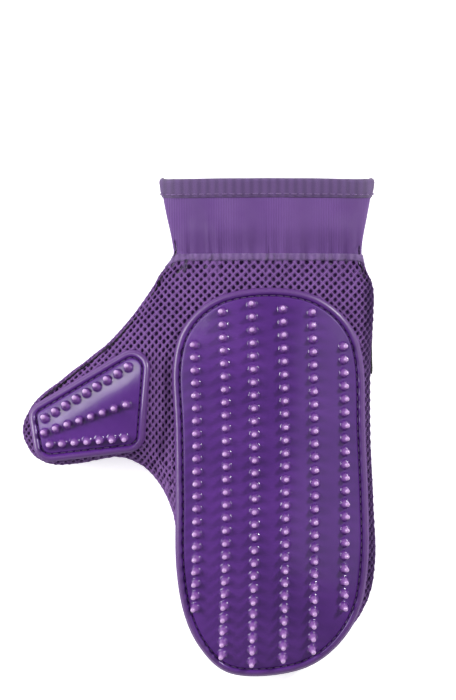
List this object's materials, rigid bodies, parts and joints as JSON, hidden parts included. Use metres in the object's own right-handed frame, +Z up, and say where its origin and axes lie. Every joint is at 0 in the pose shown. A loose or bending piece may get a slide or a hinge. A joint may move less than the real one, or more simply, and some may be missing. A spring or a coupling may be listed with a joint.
{
  "type": "pet grooming mitt",
  "caption": "Hand-shaped pet grooming mitt with a thumb pocket, a spacer-mesh palm carrying sewn-on rubber pads with rows of soft conical nubs, a padded knit back and an elastic wrist.",
  "frame": {"origin": "middle of the mitt's bounding box, on the surface that its back lies on", "axes": "+X from the thumb to the little finger, +Y from the fingertip to the cuff, +Z up out of the palm side"},
  "size_m": [0.1632, 0.2332, 0.037],
  "materials": {
    "spacer_mesh": "matte open knit",
    "back_knit": "soft brushed knit",
    "nub_rubber": "glossy soft moulded",
    "purple_thread": "twisted thread",
    "elastic_tape": "ribbed elastic",
    "hem_tape": "woven tape",
    "label_cloth": "woven satin",
    "label_thread": "twisted thread"
  },
  "bodies": {
    "palm": {"palm_front": "spacer_mesh", "palm_back": "back_knit", "palm_pad": "nub_rubber", "palm_pad_stitching": "purple_thread", "wrist_elastic": "elastic_tape", "elastic_stitching": "purple_thread"},
    "fingers": {"finger_front": "spacer_mesh", "finger_back": "back_knit", "finger_pad": "nub_rubber", "finger_pad_stitching": "purple_thread"},
    "thumb": {"thumb_front": "spacer_mesh", "thumb_back": "back_knit", "thumb_pad": "nub_rubber", "thumb_pad_stitching": "purple_thread"},
    "cuff": {"cuff_front": "back_knit", "cuff_back": "back_knit", "cuff_hem": "hem_tape", "hem_stitching": "purple_thread"},
    "label": {"side_label": "label_cloth", "label_stitching": "label_thread"}
  },
  "joints": [
    {"name": "finger_curl", "type": "hinge", "parent": "palm", "child": "fingers", "pos_m": [0.03299, -0.05248, 0.0335], "axis": [-1, 0, 0], "range_deg": [0, 40], "stiffness_Nm_per_rad": 0.4},
    {"name": "thumb_fold", "type": "hinge", "parent": "palm", "child": "thumb", "pos_m": [-0.01801, 0.01952, 0.023], "axis": [0, 1, 0], "range_deg": [0, 60], "stiffness_Nm_per_rad": 0.25},
    {"name": "cuff_tilt", "type": "hinge", "parent": "palm", "child": "cuff", "pos_m": [0.03299, 0.07952, 0.012], "axis": [1, 0, 0], "range_deg": [-20, 20], "stiffness_Nm_per_rad": 0.15},
    {"name": "label_flip", "type": "hinge", "parent": "palm", "child": "label", "pos_m": [0.08098, 0.04152, 0.00686], "axis": [0, -1, 0], "range_deg": [0, 80], "stiffness_Nm_per_rad": 0.001}
  ]
}
